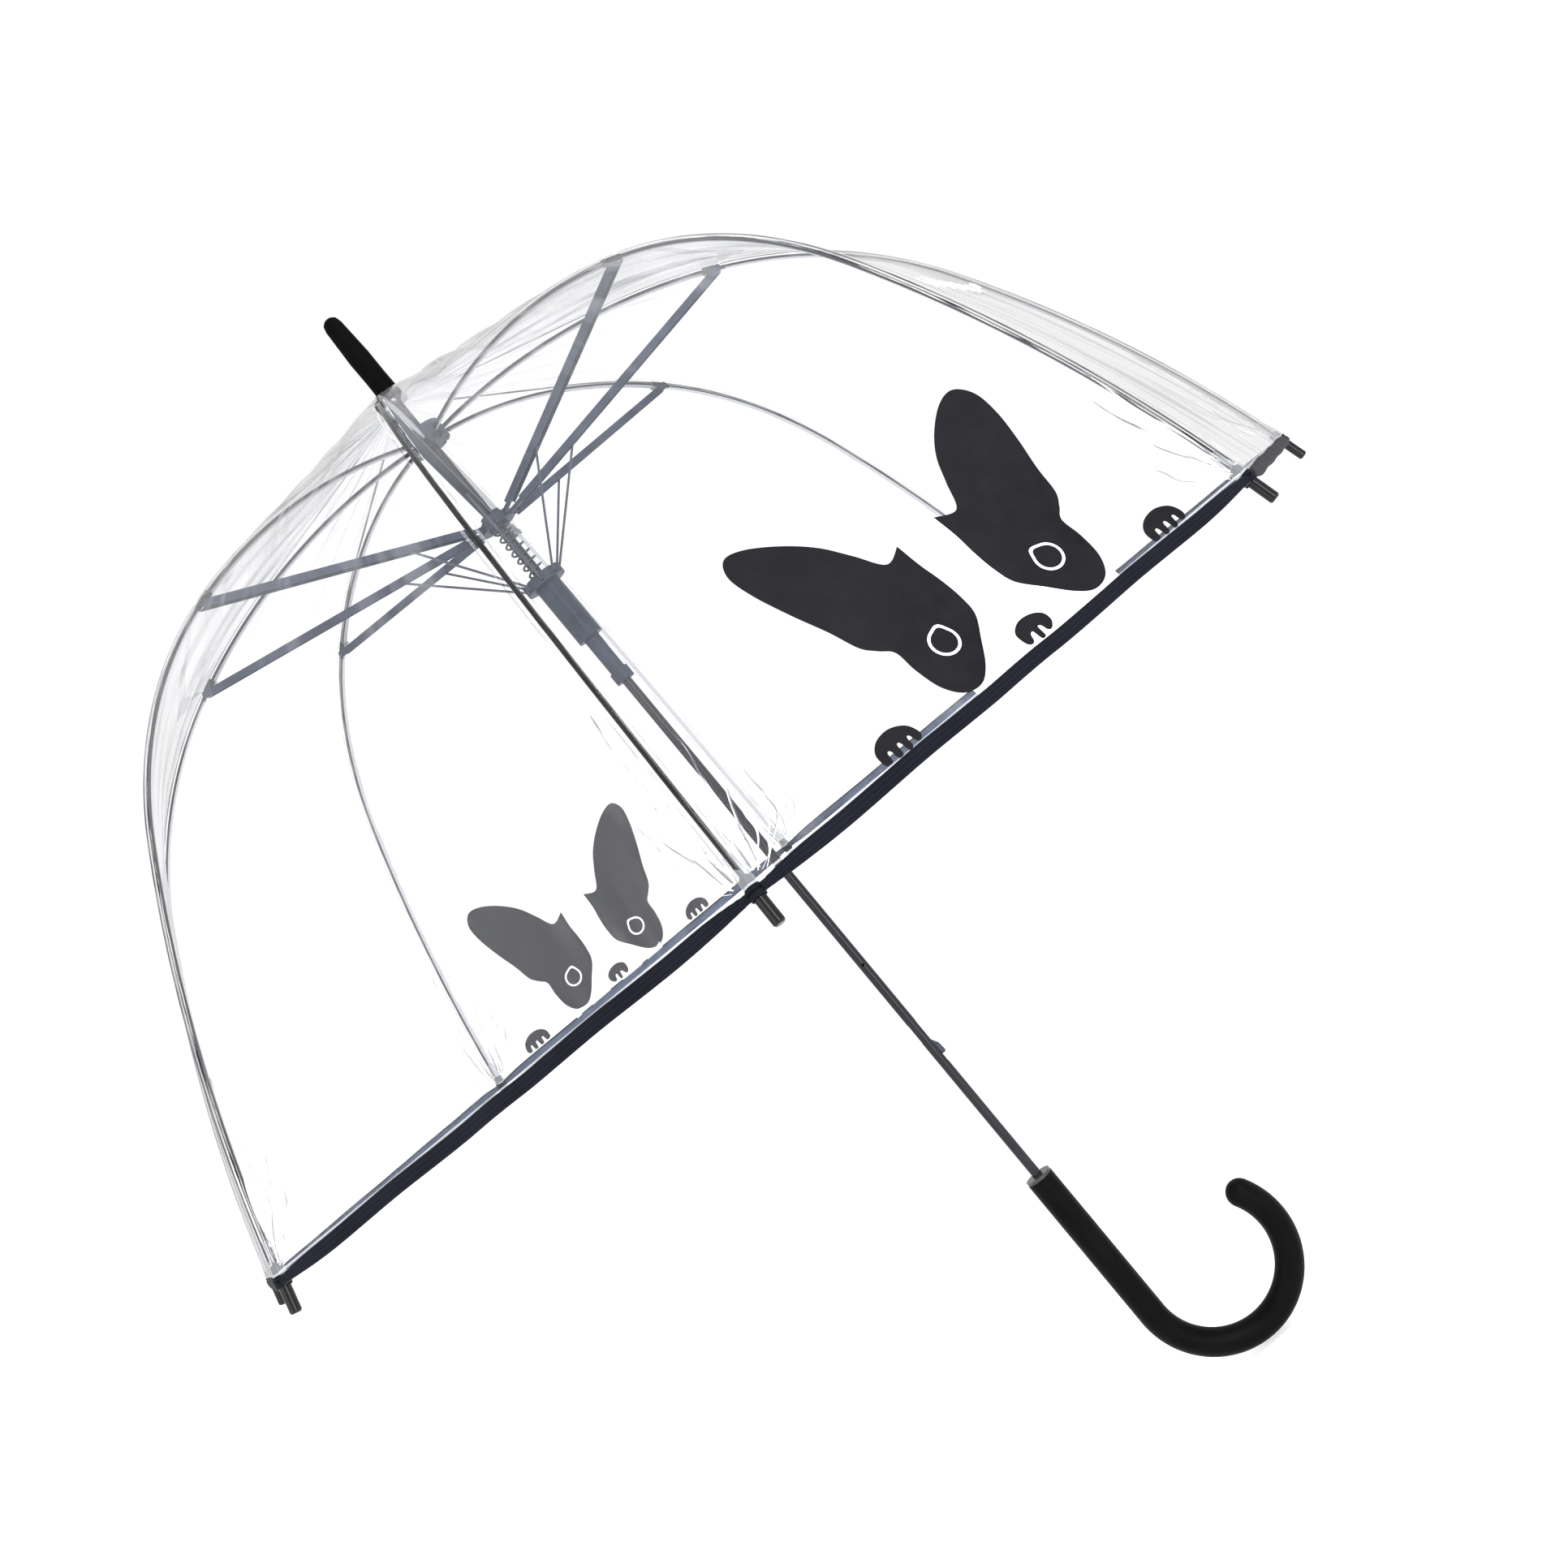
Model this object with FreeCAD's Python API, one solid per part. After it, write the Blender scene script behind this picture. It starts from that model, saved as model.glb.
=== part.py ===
import FreeCAD, Part
import math
import os

# Clear bubble umbrella, drawn open. Millimetres, +Z runs up the shaft to the ferrule.
# The origin is the middle of the straight grip, on the shaft's axis.
# Rib 1 points to -Y and the ribs follow every 45 degrees, rib 3 to +X.

os.makedirs("parts", exist_ok=True)
V = FreeCAD.Vector

# ---- overall ----
RIBS = 8
RIM_R = 420.0            # rib line to axis at the hem
RIM_Z = 316.0            # rib line's end, at the middle of the hem
# ---- shaft ----
SHAFT_R = 3.3
SHAFT_WALL = 0.6
SHAFT_BOTTOM = -40.0
SHAFT_TOP = 721.0
SLOT_W = 2.8
SLOT_Z0, SLOT_Z1 = 149.0, 182.0
DIMPLE_Z = 231.0
# ---- pivots of the folding frame ----
PIVOT_R = 11.5           # crown ring and hub ring
CROWN_Z = 669.0
HUB_Z = 599.0
JOINT_R, JOINT_Z = 214.0, 634.0
RUNNER_R, RUNNER_Z = 12.8, 551.0
RING_WIRE = 1.2
EYE_HOLE_R = 0.75
# ---- ribs ----
ARM_D = 3.4
ARM_BOW = 14.0           # rise of the arm above its chord
ROD_D = 2.8
ROD_SLOPE_0 = 25.3       # slopes below horizontal, at the joint
ROD_SLOPE_1 = 59.0       # where the tight bend eases
ROD_SLOPE_2 = 74.5       # at the hem
CLEVIS_W, CLEVIS_GAP = 4.3, 2.5
PIN_R = 0.8
PIN_HOLE_R = 0.88
TIP_R, TIP_LEN, TIP_ABOVE = 3.0, 25.0, 9.0
# ---- stretchers and link wires ----
STR_W, STR_WALL = 5.9, 0.6
STR_UP, STR_DOWN = 2.0, 2.6
LINK_AT = 60.0           # along the stretcher from the hub ring
LINK_DROP = 1.6          # link pin below the stretcher's pivot line
LINK_D = 1.6
# ---- film ----
FILM_GAP = 1.0           # rib surface to film
FILM_T = 0.5
APEX_R, APEX_Z = 4.3, 697.0
HEM_H, HEM_T = 6.6, 0.8
HEM_BELOW = 3.3          # film and hem reach this far past the rib line's end
# ---- handle ----
GRIP_R = 9.25
GRIP_TOP, GRIP_BEND = 55.0, -57.0
CROOK_R = 49.0
CROOK_SWEEP = 209.0


def save(shape, name):
    shape.exportStep("parts/" + name + ".step")


def turn(shape, index):
    copy = shape.copy()
    copy.rotate(V(0, 0, 0), V(0, 0, 1), -90.0 + 45.0 * index)
    return copy


def tube(r_out, r_in, z0, z1):
    outer = Part.makeCylinder(r_out, z1 - z0, V(0, 0, z0))
    if r_in <= 0:
        return outer
    return outer.cut(Part.makeCylinder(r_in, z1 - z0 + 2.0, V(0, 0, z0 - 1.0)))


def box(x0, x1, y0, y1, z0, z1):
    return Part.makeBox(x1 - x0, y1 - y0, z1 - z0, V(x0, y0, z0))


def arc_edge(p0, slope0, slope1, radius):
    # arc in the XZ plane that starts at p0 and steepens from slope0 to slope1
    centre = V(p0.x - radius * math.sin(slope0), 0, p0.z - radius * math.cos(slope0))
    mid = (slope0 + slope1) / 2
    pm = centre + V(radius * math.sin(mid), 0, radius * math.cos(mid))
    p1 = centre + V(radius * math.sin(slope1), 0, radius * math.cos(slope1))
    return Part.Arc(p0, pm, p1).toShape(), p1, centre


def rod_sweep(edges, start, direction, radius):
    circle = Part.Wire([Part.Circle(start, direction, radius).toShape()])
    path = Part.Wire(edges)
    return path.makePipeShell([circle], True, True)


def bar_between(p0, p1, radius):
    return Part.makeCylinder(radius, p1.sub(p0).Length, p0, p1.sub(p0))


def along(shape, origin, angle):
    # puts a shape drawn along +X from zero onto a line in the XZ plane
    copy = shape.copy()
    copy.rotate(V(0, 0, 0), V(0, 1, 0), -angle)
    copy.translate(origin)
    return copy


def cross_cyl(x, z, radius, half):
    return Part.makeCylinder(radius, 2 * half, V(x, -half, z), V(0, 1, 0))


# ---- rib geometry in the XZ plane ----
crown = V(PIVOT_R, 0, CROWN_Z)
hub = V(PIVOT_R, 0, HUB_Z)
joint = V(JOINT_R, 0, JOINT_Z)
chord = joint.sub(crown)
chord_slope = math.atan2(-chord.z, chord.x)
half_turn = 2 * math.atan(2 * ARM_BOW / chord.Length)
arm_radius = chord.Length / 2 / math.sin(half_turn)
arm_s0 = chord_slope - half_turn
arm_s1 = chord_slope + half_turn

s0 = math.radians(ROD_SLOPE_0)
s1 = math.radians(ROD_SLOPE_1)
s2 = math.radians(ROD_SLOPE_2)
# the two bend radii that bring the rod from the joint to the hem
a11 = math.sin(s1) - math.sin(s0)
a12 = math.sin(s2) - math.sin(s1)
a21 = math.cos(s0) - math.cos(s1)
a22 = math.cos(s1) - math.cos(s2)
det = a11 * a22 - a12 * a21
run_r = RIM_R - JOINT_R
run_z = JOINT_Z - RIM_Z
rod_ra = (run_r * a22 - a12 * run_z) / det
rod_rb = (a11 * run_z - run_r * a21) / det


def rib_arc(p0, sa, sb, radius, trim0, trim1):
    # a rib arc shortened by trim0 and trim1 millimetres at its ends
    full, p1, centre = arc_edge(p0, sa, sb, radius)
    ta = sa + trim0 / radius
    tb = sb - trim1 / radius
    start = centre + V(radius * math.sin(ta), 0, radius * math.cos(ta))
    edge, end, centre = arc_edge(start, ta, tb, radius)
    return edge, start, end, V(math.cos(ta), 0, -math.sin(ta))


def rib_arm():
    edge, start, end, d = rib_arc(crown, arm_s0, arm_s1, arm_radius, 9.0, 6.0)
    body = rod_sweep([edge], start, d, ARM_D / 2)
    # flat tongue with an eye, inside the crown notch
    tongue = box(0, 11.5, -1.0, 1.0, -1.3, 1.3)
    tongue = along(tongue, crown, -math.degrees(arm_s0))
    eye = cross_cyl(crown.x, crown.z, 1.5, 1.0)
    body = body.fuse([tongue, eye])
    body = body.cut(cross_cyl(crown.x, crown.z, EYE_HOLE_R, 3.0))
    # moulded clevis at the joint, with its pin
    half = CLEVIS_W / 2
    block = box(-10.0, 0, -half, half, -2.2, 2.2)
    block = along(block, joint, -math.degrees(arm_s1))
    nose = cross_cyl(joint.x, joint.z, 2.2, half)
    gap = box(-2.7, 6.0, -CLEVIS_GAP / 2, CLEVIS_GAP / 2, -4.0, 4.0)
    gap = along(gap, joint, -math.degrees(arm_s1))
    body = body.fuse([block, nose])
    body = body.cut(gap)
    pin = cross_cyl(joint.x, joint.z, PIN_R, STR_W / 2 + 0.3)
    return body.fuse(pin).removeSplitter()


def rib_rod():
    ea, start, end, d = rib_arc(joint, s0, s1, rod_ra, 2.9, 0.0)
    eb, pb, pe, db = rib_arc(end, s1, s2, rod_rb, 0.0, 4.0)
    body = rod_sweep([ea, eb], start, d, ROD_D / 2)
    tongue = box(0, 5.0, -1.1, 1.1, -1.3, 1.3)
    tongue = along(tongue, joint, -ROD_SLOPE_0)
    eye = cross_cyl(joint.x, joint.z, 2.0, 1.1)
    body = body.fuse([tongue, eye])
    return body.cut(cross_cyl(joint.x, joint.z, PIN_HOLE_R, 3.0)).removeSplitter()


def rib_tip():
    # black end piece, blind bore over the rod's end
    down = V(math.cos(s2), 0, -math.sin(s2))
    rim = V(RIM_R, 0, RIM_Z)
    top = rim - down * TIP_ABOVE
    piece = Part.makeCylinder(TIP_R, TIP_LEN, top, down)
    edges = [e for e in piece.Edges if e.Curve.TypeId == "Part::GeomCircle"]
    piece = piece.makeChamfer(0.8, edges)
    bore = Part.makeCylinder(ROD_D / 2 + 0.3, TIP_ABOVE - 2.0, top - down, down)
    return piece.cut(bore), top, down


def stretcher():
    length = joint.sub(hub).Length
    slope = math.degrees(math.atan2(joint.z - hub.z, joint.x - hub.x))
    half = STR_W / 2
    inner = half - STR_WALL
    body = box(11.0, length, -half, half, -STR_DOWN, STR_UP)
    body = body.cut(box(10.0, length + 1, -inner, inner, -STR_DOWN - 1, STR_UP - STR_WALL))
    # open fork at the rib end
    body = body.cut(box(length - 12.0, length + 1, -inner, inner, -9, 9))
    # the fork's cheeks end round about the joint pin
    disc = Part.makeCylinder(2.2, STR_W, V(length, -half, 0), V(0, 1, 0))
    disc = disc.cut(box(length - 9, length + 9, -inner, inner, -9, 9))
    body = body.fuse(disc)
    body = body.cut(Part.makeCylinder(PIN_HOLE_R, 20, V(length, -10, 0), V(0, 1, 0)))
    # tongue and eye on the hub ring, pinched out of the channel
    tongue = box(0, 14.0, -1.0, 1.0, -1.3, 1.3)
    web = box(11.0, 13.0, -half, half, -1.3, STR_UP)
    eye = Part.makeCylinder(1.5, 2.0, V(0, -1.0, 0), V(0, 1, 0))
    pin = Part.makeCylinder(0.7, STR_W - 0.4, V(LINK_AT, -half + 0.2, -LINK_DROP), V(0, 1, 0))
    body = body.fuse([tongue, web, eye, pin])
    body = body.cut(Part.makeCylinder(EYE_HOLE_R, 20, V(0, -10, 0), V(0, 1, 0)))
    return along(body, hub, slope).removeSplitter(), slope


def link_wire(slope):
    a = math.radians(slope)
    top = hub + V(math.cos(a), 0, math.sin(a)) * LINK_AT
    top = top + V(math.sin(a), 0, -math.cos(a)) * LINK_DROP
    low = V(RUNNER_R, 0, RUNNER_Z)
    body = bar_between(low, top, LINK_D / 2)
    body = body.fuse([cross_cyl(top.x, top.z, 1.5, 0.8), cross_cyl(low.x, low.z, 1.5, 0.8)])
    body = body.cut(cross_cyl(top.x, top.z, 0.78, 2.0))
    return body.cut(cross_cyl(low.x, low.z, EYE_HOLE_R, 2.0))


def ring(radius, z, wire_r):
    return Part.makeTorus(radius, wire_r, V(0, 0, z), V(0, 0, 1))


def notch(r_out, z0, z1, ring_r, ring_z, slot_in, slot_z0, slot_z1, slot_w):
    # round plastic notch with a slot for every rib and a groove for its ring wire
    disc = tube(r_out, SHAFT_R + 0.1, z0, z1)
    slot = box(slot_in, r_out + 3.0, -slot_w / 2, slot_w / 2, slot_z0, slot_z1)
    slots = [turn(slot, i) for i in range(RIBS)]
    disc = disc.cut(slots)
    return disc.cut(ring(ring_r, ring_z, RING_WIRE / 2 + 0.03))


# ---- folding frame ----
arm = rib_arm()
rod = rib_rod()
tip, tip_top, tip_dir = rib_tip()
strut, strut_slope = stretcher()
link = link_wire(strut_slope)
for i in range(RIBS):
    number = str(i + 1)
    save(turn(arm, i), "rib_arm_" + number)
    save(turn(rod, i), "rib_rod_" + number)
    save(turn(tip, i), "rib_tip_" + number)
    save(turn(strut, i), "stretcher_" + number)
    save(turn(link, i), "link_wire_" + number)

# ---- shaft with its catch slot and spring-seat dimple ----
shaft = tube(SHAFT_R, SHAFT_R - SHAFT_WALL, SHAFT_BOTTOM, SHAFT_TOP)
shaft = shaft.cut(box(0, 9, -SLOT_W / 2, SLOT_W / 2, SLOT_Z0, SLOT_Z1))
shaft = shaft.cut(box(-9, 0, -SLOT_W / 2, SLOT_W / 2, 168.0, SLOT_Z1))
shaft = shaft.cut(Part.makeCylinder(1.0, 8, V(0, 0, DIMPLE_Z), V(0, -1, 0)))
save(shaft, "shaft")

# ---- crown notch, fixed to the shaft ----
crown_notch = notch(13.6, 663.0, 676.0, PIVOT_R, CROWN_Z, 9.4, 660.0, 671.4, 2.4)
save(crown_notch, "crown_notch")
save(ring(PIVOT_R, CROWN_Z, RING_WIRE / 2), "crown_wire")

# ---- floating hub ----
hub_slots = notch(12.8, HUB_Z - 2.6, HUB_Z + 3.0, PIVOT_R, HUB_Z, 9.4, HUB_Z - 1.9, HUB_Z + 5, 2.4)
hub_sleeve = tube(7.2, SHAFT_R + 0.1, HUB_Z - 4.6, HUB_Z + 7.0)
save(hub_slots.fuse(hub_sleeve).removeSplitter(), "slide_hub")
save(ring(PIVOT_R, HUB_Z, RING_WIRE / 2), "hub_wire")

# ---- runner ----
runner_notch = notch(14.4, 547.6, 554.4, RUNNER_R, RUNNER_Z, 10.8, 549.0, 556.0, 2.2)
runner = runner_notch.fuse(tube(8.8, SHAFT_R + 0.1, 503.5, 554.4).cut(ring(RUNNER_R, RUNNER_Z, 0.63)))
runner = runner.fuse(tube(5.4, SHAFT_R + 0.1, 468.0, 504.5))
runner = runner.fuse(tube(6.7, SHAFT_R + 0.1, 468.0, 476.0))
# slot that lets the neck pass over the catch
runner = runner.cut(box(0, 9, -1.6, 1.6, 467.0, 494.0))
save(runner.removeSplitter(), "runner")
save(ring(RUNNER_R, RUNNER_Z, RING_WIRE / 2), "runner_wire")

# ---- opening spring, between hub and runner ----
SPRING_R, SPRING_WIRE = 5.6, 0.75
spring_z0 = 554.4 + SPRING_WIRE + 0.1
spring_z1 = HUB_Z - 4.6 - SPRING_WIRE - 0.1
coils = 6.5
helix = Part.makeHelix((spring_z1 - spring_z0) / coils, spring_z1 - spring_z0, SPRING_R)
wire_start = Part.Wire([Part.Circle(V(SPRING_R, 0, 0), V(0, 1, 0), SPRING_WIRE).toShape()])
spring = Part.Wire(helix).makePipeShell([wire_start], True, True)
spring.translate(V(0, 0, spring_z0))
save(spring, "opening_spring")

# ---- thumb catch: a leaf inside the shaft whose nose looks out of the slot ----
leaf = box(1.0, 2.2, -1.1, 1.1, 120.0, 168.0)
nose_points = [V(1.0, 0, 155.0), V(5.4, 0, 155.0), V(6.1, 0, 156.2), V(5.6, 0, 162.0), V(2.2, 0, 168.0)]
nose_points = nose_points + [V(1.0, 0, 168.0), V(1.0, 0, 155.0)]
nose_face = Part.Face(Part.makePolygon(nose_points))
nose = nose_face.extrude(V(0, 2.2, 0))
nose.translate(V(0, -1.1, 0))
save(leaf.fuse(nose).removeSplitter(), "thumb_catch")

# ---- ferrule and washer above the film ----
profile = [V(0, 0, 701.6), V(7.5, 0, 701.6), V(7.5, 0, 704.0), V(7.2, 0, 722.0), V(7.4, 0, 738.0)]
profile = profile + [V(6.6, 0, 755.0), V(6.2, 0, 764.0), V(5.2, 0, 768.0), V(3.2, 0, 769.8), V(0, 0, 770.2)]
profile = profile + [V(0, 0, 701.6)]
ferrule = Part.Face(Part.makePolygon(profile)).revolve(V(0, 0, 0), V(0, 0, 1), 360)
ferrule = ferrule.cut(Part.makeCylinder(SHAFT_R + 0.02, 20.5, V(0, 0, 701.0)))
save(ferrule, "ferrule")
save(tube(8.6, SHAFT_R + 0.05, 699.6, 701.6), "top_washer")


# ---- clear film: eight panels between neighbouring ribs ----
s_hem = s2 + HEM_BELOW / rod_rb


def film_profile(offset):
    # rib-plane line of the film at a distance outside the rib line
    arm_c = V(crown.x - arm_radius * math.sin(arm_s0), 0, crown.z - arm_radius * math.cos(arm_s0))
    radius = arm_radius + offset
    apex = V(APEX_R, 0, APEX_Z + (offset - ARM_D / 2 - FILM_GAP))
    to_centre = arm_c.sub(apex)
    reach = to_centre.Length
    swing = math.acos(radius / reach)
    base = math.atan2(apex.x - arm_c.x, apex.z - arm_c.z)
    touch = base + swing
    pt = arm_c + V(radius * math.sin(touch), 0, radius * math.cos(touch))
    line = Part.LineSegment(apex, pt).toShape()
    e1, p1, c1 = arc_edge(pt, touch, s0, radius)
    e2, p2, c2 = arc_edge(p1, s0, s1, rod_ra + offset)
    e3, p3, c3 = arc_edge(p2, s1, s_hem, rod_rb + offset)
    return [line, e1, e2, e3], [apex, pt, p1, p2, p3]


def ruled_ring(edges, index):
    faces = []
    for edge in edges:
        faces.append(Part.makeRuledSurface(turn(edge, index), turn(edge, index + 1)))
    return faces


def quad(p0, p1, index):
    pts = [turn(Part.Vertex(p0), index).Point, turn(Part.Vertex(p1), index).Point]
    pts = pts + [turn(Part.Vertex(p1), index + 1).Point, turn(Part.Vertex(p0), index + 1).Point]
    return Part.makeRuledSurface(
        Part.makeLine(pts[0], pts[1]),
        Part.makeLine(pts[3], pts[2]),
    )


def shell_solid(faces):
    shell = Part.makeShell(faces)
    shell.sewShape()
    solid = Part.makeSolid(shell)
    if solid.Volume < 0:
        solid.reverse()
    return solid


inner_off = ARM_D / 2 + FILM_GAP
outer_off = inner_off + FILM_T
inner_edges, inner_pts = film_profile(inner_off)
outer_edges, outer_pts = film_profile(outer_off)
faces = []
for i in range(RIBS):
    faces = faces + ruled_ring(inner_edges, i)
    faces = faces + ruled_ring(outer_edges, i)
    faces.append(quad(inner_pts[0], outer_pts[0], i))
    faces.append(quad(inner_pts[-1], outer_pts[-1], i))
film = shell_solid(faces)

# ---- hem binding: a folded band round the outside of the film's edge ----
hem_in = outer_off + 0.05
hem_out = hem_in + HEM_T


def hem_points(offset):
    c = V(RIM_R - rod_rb * math.sin(s2), 0, RIM_Z - rod_rb * math.cos(s2))
    radius = rod_rb + offset
    top = s_hem - HEM_H / rod_rb
    low = c + V(radius * math.sin(s_hem), 0, radius * math.cos(s_hem))
    high = c + V(radius * math.sin(top), 0, radius * math.cos(top))
    edge, end, c2 = arc_edge(high, top, s_hem, radius)
    return edge, low, high


hem_edge_in, low_in, high_in = hem_points(hem_in)
hem_edge_out, low_out, high_out = hem_points(hem_out)
faces = []
for i in range(RIBS):
    faces = faces + ruled_ring([hem_edge_in, hem_edge_out], i)
    faces.append(quad(low_in, low_out, i))
    faces.append(quad(high_in, high_out, i))
hem = shell_solid(faces)

# both are open round each tip
room = Part.makeCylinder(TIP_R + 0.6, TIP_LEN + 6.0, tip_top - tip_dir * 3.0, tip_dir)
rooms = [turn(room, i) for i in range(RIBS)]
film = film.cut(rooms)
hem = hem.cut(rooms)
save(film, "canopy")
# the hem is gathered round the outside of every tip
gather = Part.makeCylinder(TIP_R + 1.4, 6.0, V(-3.1, 0, 0), V(1, 0, 0))
gather = gather.cut(Part.makeCylinder(TIP_R + 0.6, 12.0, V(-6, 0, 0), V(1, 0, 0)))
gather = gather.cut(box(-6, 6, -9, 9, -9, 2.12))
gather = along(gather, V(RIM_R, 0, RIM_Z), -ROD_SLOPE_2)
hem = hem.fuse([turn(gather, i) for i in range(RIBS)])
save(hem, "hem_binding")

# ---- tie strap with its snap, lying on the panel between ribs 2 and 3 ----
face_angle = 22.5
mid_cos = math.cos(math.radians(face_angle))
STRAP_R, STRAP_Z = 338.0, 529.0
panel_slope = 47.0


def on_panel(shape):
    # from a flat drawing (X across, Y up the panel, Z outwards) to the panel's outer face
    copy = shape.copy()
    copy.rotate(V(0, 0, 0), V(0, 0, 1), 90.0)
    copy.rotate(V(0, 0, 0), V(0, 1, 0), panel_slope)
    copy.translate(V((STRAP_R + 6.5) * mid_cos, 0, STRAP_Z + 4.5))
    copy.rotate(V(0, 0, 0), V(0, 0, 1), -face_angle)
    return copy


strap = box(-70.0, 70.0, -6.0, 6.0, 0.0, 0.5)
save(on_panel(strap), "tie_strap")
save(on_panel(Part.makeCylinder(4.0, 1.2, V(62.0, 0, 0.5))), "snap_stud")
save(on_panel(Part.makeCylinder(4.0, 1.2, V(-62.0, 0, 0.5))), "snap_socket")

# ---- handle: straight grip and crook, one moulding ----
straight = Part.LineSegment(V(0, 0, GRIP_TOP), V(0, 0, GRIP_BEND)).toShape()
centre = V(CROOK_R, 0, GRIP_BEND)
half_sweep = math.radians(180.0 + CROOK_SWEEP / 2)
full_sweep = math.radians(180.0 + CROOK_SWEEP)
pm = centre + V(CROOK_R * math.cos(half_sweep), 0, CROOK_R * math.sin(half_sweep))
pe = centre + V(CROOK_R * math.cos(full_sweep), 0, CROOK_R * math.sin(full_sweep))
bend = Part.Arc(V(0, 0, GRIP_BEND), pm, pe).toShape()
grip = rod_sweep([straight, bend], V(0, 0, GRIP_TOP), V(0, 0, -1), GRIP_R)
grip = grip.fuse(Part.makeSphere(GRIP_R, pe))
grip = grip.cut(Part.makeCylinder(SHAFT_R + 0.02, 96.0, V(0, 0, GRIP_TOP - 95.5)))
save(grip.removeSplitter(), "handle")
save(tube(9.0, SHAFT_R + 0.05, GRIP_TOP + 0.05, GRIP_TOP + 2.2), "handle_collar")
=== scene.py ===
import math
import bpy
from mathutils import Matrix, Vector
from mathutils.geometry import delaunay_2d_cdt


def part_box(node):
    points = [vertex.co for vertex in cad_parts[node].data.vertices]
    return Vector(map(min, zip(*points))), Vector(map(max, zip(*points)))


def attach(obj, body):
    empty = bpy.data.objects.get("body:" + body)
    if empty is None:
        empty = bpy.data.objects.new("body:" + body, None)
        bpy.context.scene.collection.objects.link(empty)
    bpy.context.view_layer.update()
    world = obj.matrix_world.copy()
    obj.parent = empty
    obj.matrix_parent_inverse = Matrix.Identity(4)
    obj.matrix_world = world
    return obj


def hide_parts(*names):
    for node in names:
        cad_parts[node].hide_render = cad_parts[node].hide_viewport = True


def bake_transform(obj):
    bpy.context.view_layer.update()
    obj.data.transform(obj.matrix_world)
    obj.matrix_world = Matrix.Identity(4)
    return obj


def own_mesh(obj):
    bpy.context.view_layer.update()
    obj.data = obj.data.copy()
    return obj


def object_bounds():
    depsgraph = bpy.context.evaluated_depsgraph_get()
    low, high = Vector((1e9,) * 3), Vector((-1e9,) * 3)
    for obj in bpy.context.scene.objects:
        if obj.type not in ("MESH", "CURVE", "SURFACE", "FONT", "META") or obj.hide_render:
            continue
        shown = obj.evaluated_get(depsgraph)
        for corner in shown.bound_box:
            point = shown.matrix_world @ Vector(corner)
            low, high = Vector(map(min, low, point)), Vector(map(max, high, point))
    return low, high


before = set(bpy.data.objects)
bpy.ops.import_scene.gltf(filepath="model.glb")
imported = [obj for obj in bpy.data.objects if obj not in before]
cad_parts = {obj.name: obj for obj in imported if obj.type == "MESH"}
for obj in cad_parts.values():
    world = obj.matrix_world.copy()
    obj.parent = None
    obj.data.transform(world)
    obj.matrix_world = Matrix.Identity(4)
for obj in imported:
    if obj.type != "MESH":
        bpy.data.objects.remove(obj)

# A clear bubble umbrella. Lengths are in mm and become metres through MM, unless a comment says otherwise.
CAD_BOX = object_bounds()
MM = 0.001
RIBS = 8
RIB_STEP = 360.0 / RIBS      # degrees
FIRST_RIB = -90.0
HALF_STEP = math.radians(RIB_STEP / 2)
SIN_H, COS_H = math.sin(HALF_STEP), math.cos(HALF_STEP)

# ---------------------------------------------------------------- rib line as (r, z), as in the CAD source
CROWN = (11.5, 669.0)        # the arm's pivot on the crown ring
JOINT = (214.0, 634.0)       # where arm, rod and stretcher meet
RIM = (420.0, 316.0)         # the rod's end at the hem
APEX = (4.3, 697.0)          # where the film meets the shaft
ARM_BOW = 14.0
# the rod's slope at the joint, between its two arcs and at the rim
S0, S1, S2 = (math.radians(a) for a in (25.3, 59.0, 74.5))
FILM_IN = 2.7                # inner face of the film above the rib line
FILM = 2.95                  # middle of the film
TIP_R = 3.0
HEM_LOW, HEM_TOP = -3.3, 3.3  # hem's edges along the film, from the rib line's end
SIDE = 3.2                   # the film folds beside this half-width, which stays on the rib

# the arm is one arc about ARM_C, from slope A0 to A1
chord = (JOINT[0] - CROWN[0], JOINT[1] - CROWN[1])
chord_len = math.hypot(*chord)
chord_slope = math.atan2(-chord[1], chord[0])
half_turn = 2 * math.atan(2 * ARM_BOW / chord_len)
ARM_RAD = chord_len / 2 / math.sin(half_turn)
A0, A1 = chord_slope - half_turn, chord_slope + half_turn
ARM_C = (CROWN[0] - ARM_RAD * math.sin(A0), CROWN[1] - ARM_RAD * math.cos(A0))

# the rod is two arcs that meet without a corner: ROD_A about CA, then ROD_B about CB down to the rim
k11, k12 = math.sin(S1) - math.sin(S0), math.sin(S2) - math.sin(S1)
k21, k22 = math.cos(S0) - math.cos(S1), math.cos(S1) - math.cos(S2)
det = k11 * k22 - k12 * k21
run_r, run_z = RIM[0] - JOINT[0], JOINT[1] - RIM[1]
ROD_A = (run_r * k22 - k12 * run_z) / det
ROD_B = (k11 * run_z - run_r * k21) / det
CA = (JOINT[0] - ROD_A * math.sin(S0), JOINT[1] - ROD_A * math.cos(S0))
meeting = (CA[0] + ROD_A * math.sin(S1), CA[1] + ROD_A * math.cos(S1))
CB = (meeting[0] - ROD_B * math.sin(S1), meeting[1] - ROD_B * math.cos(S1))

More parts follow.
